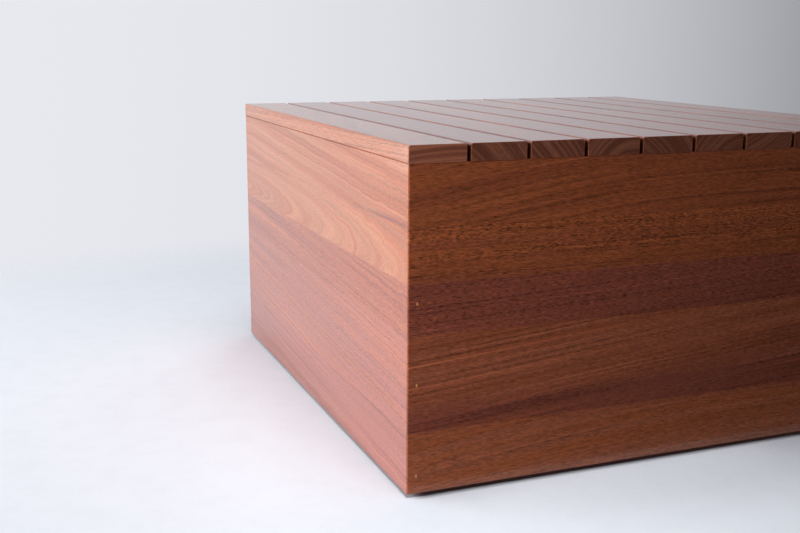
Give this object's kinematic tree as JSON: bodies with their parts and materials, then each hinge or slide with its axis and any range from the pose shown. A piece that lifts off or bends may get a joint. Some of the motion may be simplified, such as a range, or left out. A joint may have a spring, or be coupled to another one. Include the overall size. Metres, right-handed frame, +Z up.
{
  "type": "side table",
  "caption": "Low square side table: a mitred box of edge-glued hardwood boards under a flush slatted top, on levelling feet set back out of sight.",
  "frame": {"origin": "on the floor under the middle of the table, with the feet wound home", "axes": "+X to the right along the front, +Y to the back along the slats, +Z up"},
  "size_m": [0.762, 0.762, 0.419],
  "materials": {
    "top_wood": "satin clear coat",
    "side_wood": "satin clear coat",
    "inner_wood": "planed, uncoated",
    "filler": "sanded wood filler",
    "screw_steel": "yellow zinc plated",
    "nail_steel": "bright wire",
    "insert_brass": "turned",
    "stud_steel": "zinc plated",
    "pad_plastic": "moulded nylon"
  },
  "bodies": {
    "carcass": {"slat_01": "top_wood", "slat_02": "top_wood", "slat_03": "top_wood", "slat_04": "top_wood", "slat_05": "top_wood", "slat_06": "top_wood", "slat_07": "top_wood", "slat_08": "top_wood", "slat_09": "top_wood", "slat_10": "top_wood", "front_board_1": "side_wood", "front_board_2": "side_wood", "front_board_3": "side_wood", "front_board_4": "side_wood", "front_board_5": "side_wood", "right_board_1": "side_wood", "right_board_2": "side_wood", "right_board_3": "side_wood", "right_board_4": "side_wood", "right_board_5": "side_wood", "back_board_1": "side_wood", "back_board_2": "side_wood", "back_board_3": "side_wood", "back_board_4": "side_wood", "back_board_5": "side_wood", "left_board_1": "side_wood", "left_board_2": "side_wood", "left_board_3": "side_wood", "left_board_4": "side_wood", "left_board_5": "side_wood", "corner_post_front_left": "inner_wood", "corner_post_front_right": "inner_wood", "corner_post_back_left": "inner_wood", "corner_post_back_right": "inner_wood", "front_cleat": "inner_wood", "back_cleat": "inner_wood", "left_cleat": "inner_wood", "right_cleat": "inner_wood", "middle_bearer": "inner_wood", "slat_screws": "screw_steel", "bearer_screws": "screw_steel", "mitre_nails": "nail_steel", "nail_fillers": "filler", "threaded_inserts": "insert_brass"},
    "levelling_pad_front_left": {"levelling_pad_front_left": "pad_plastic"},
    "levelling_stud_front_left": {"levelling_stud_front_left": "stud_steel"},
    "levelling_pad_front_right": {"levelling_pad_front_right": "pad_plastic"},
    "levelling_stud_front_right": {"levelling_stud_front_right": "stud_steel"},
    "levelling_pad_back_left": {"levelling_pad_back_left": "pad_plastic"},
    "levelling_stud_back_left": {"levelling_stud_back_left": "stud_steel"},
    "levelling_pad_back_right": {"levelling_pad_back_right": "pad_plastic"},
    "levelling_stud_back_right": {"levelling_stud_back_right": "stud_steel"}
  },
  "joints": [
    {"name": "front_left_foot_height", "type": "slide", "parent": "carcass", "child": "levelling_pad_front_left", "axis": [0, 0, -1], "range_m": [0, 0.012]},
    {"name": "front_left_stud_turn", "type": "hinge", "parent": "levelling_pad_front_left", "child": "levelling_stud_front_left", "pos_m": [-0.3375, -0.3375, 0.02], "axis": [0, 0, -1], "range_deg": [0, 3456]},
    {"name": "front_right_foot_height", "type": "slide", "parent": "carcass", "child": "levelling_pad_front_right", "axis": [0, 0, -1], "range_m": [0, 0.012]},
    {"name": "front_right_stud_turn", "type": "hinge", "parent": "levelling_pad_front_right", "child": "levelling_stud_front_right", "pos_m": [0.3375, -0.3375, 0.02], "axis": [0, 0, -1], "range_deg": [0, 3456]},
    {"name": "back_left_foot_height", "type": "slide", "parent": "carcass", "child": "levelling_pad_back_left", "axis": [0, 0, -1], "range_m": [0, 0.012]},
    {"name": "back_left_stud_turn", "type": "hinge", "parent": "levelling_pad_back_left", "child": "levelling_stud_back_left", "pos_m": [-0.3375, 0.3375, 0.02], "axis": [0, 0, -1], "range_deg": [0, 3456]},
    {"name": "back_right_foot_height", "type": "slide", "parent": "carcass", "child": "levelling_pad_back_right", "axis": [0, 0, -1], "range_m": [0, 0.012]},
    {"name": "back_right_stud_turn", "type": "hinge", "parent": "levelling_pad_back_right", "child": "levelling_stud_back_right", "pos_m": [0.3375, 0.3375, 0.02], "axis": [0, 0, -1], "range_deg": [0, 3456]}
  ],
  "couplings": [
    {"joint": "front_left_stud_turn", "follows": "front_left_foot_height", "rad_per_m": 5026.5},
    {"joint": "front_right_stud_turn", "follows": "front_right_foot_height", "rad_per_m": 5026.5},
    {"joint": "back_left_stud_turn", "follows": "back_left_foot_height", "rad_per_m": 5026.5},
    {"joint": "back_right_stud_turn", "follows": "back_right_foot_height", "rad_per_m": 5026.5}
  ]
}
